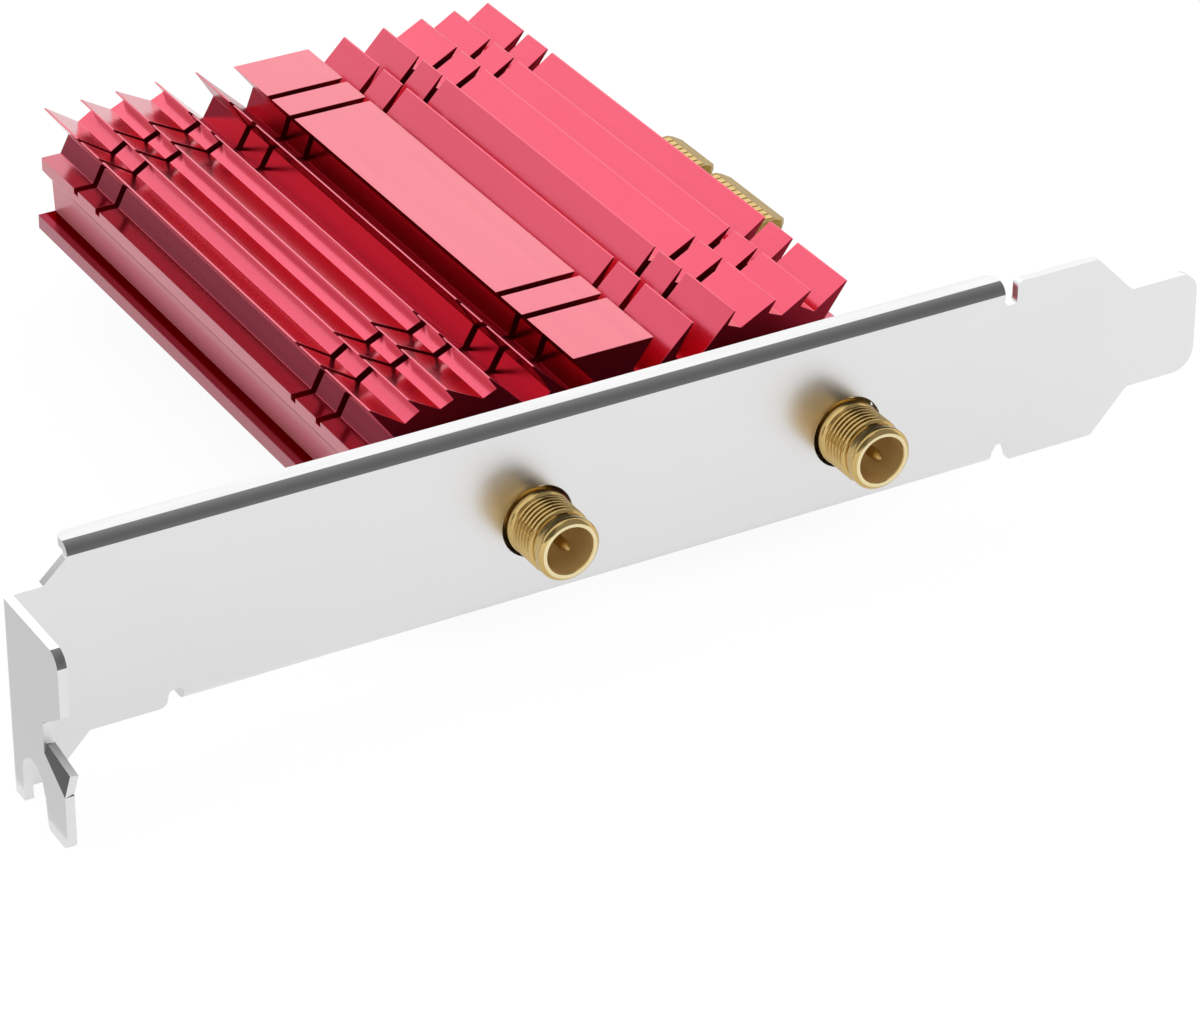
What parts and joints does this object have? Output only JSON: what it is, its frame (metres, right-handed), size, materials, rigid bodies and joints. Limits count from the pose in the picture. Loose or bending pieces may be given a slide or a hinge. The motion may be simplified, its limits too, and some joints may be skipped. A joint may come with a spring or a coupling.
{
  "type": "pcie wifi card",
  "caption": "Short expansion card with a finned red heatsink over its board, a bent steel slot bracket and two gold antenna jacks.",
  "frame": {"origin": "middle of the whole card's box seen from above, at the height of the screw tab's lowest edge", "axes": "+X along the slot bracket from its screw tab to its blade, which is also the way the edge tongue points; +Y from the bracket into the card; +Z from the board's solder side to its heatsink side"},
  "size_m": [0.12, 0.0908, 0.0222],
  "materials": {
    "bracket": "bright nickel-plated sheet steel, satin",
    "circuit_board": "dark green solder mask over glass-fibre laminate",
    "edge_contacts": "hard gold plating",
    "heatsink": "red anodised extrusion, glossy",
    "heatsink_screws": "nickel-plated",
    "bracket_screws": "nickel-plated",
    "jack_shell": "gold-plated brass, bright",
    "jack_contact": "gold-plated",
    "jack_insulator": "white fluoroplastic",
    "shield": "tin-plated sheet",
    "chip_package": "moulded black resin",
    "thermal_pad": "soft grey-blue silicone",
    "crystal_can": "bright metal lid",
    "inductor_body": "pressed ferrite powder, dark grey",
    "capacitor_body": "tan ceramic with tinned ends"
  },
  "bodies": {
    "root": {"bracket": "bracket", "circuit_board": "circuit_board", "edge_contacts": "edge_contacts", "heatsink": "heatsink", "heatsink_screws": "heatsink_screws", "bracket_screws": "bracket_screws", "jack_shell_left": "jack_shell", "jack_shell_right": "jack_shell", "jack_contact_left": "jack_contact", "jack_contact_right": "jack_contact", "jack_insulator_left": "jack_insulator", "jack_insulator_right": "jack_insulator", "shield_frame": "shield", "shield_lid": "shield", "radio_chip": "chip_package", "front_end_modules": "chip_package", "flash_chip": "chip_package", "voltage_regulator": "chip_package", "inner_thermal_pad": "thermal_pad", "outer_thermal_pad": "thermal_pad", "crystal": "crystal_can", "power_inductors": "inductor_body", "capacitors": "capacitor_body"}
  },
  "joints": []
}
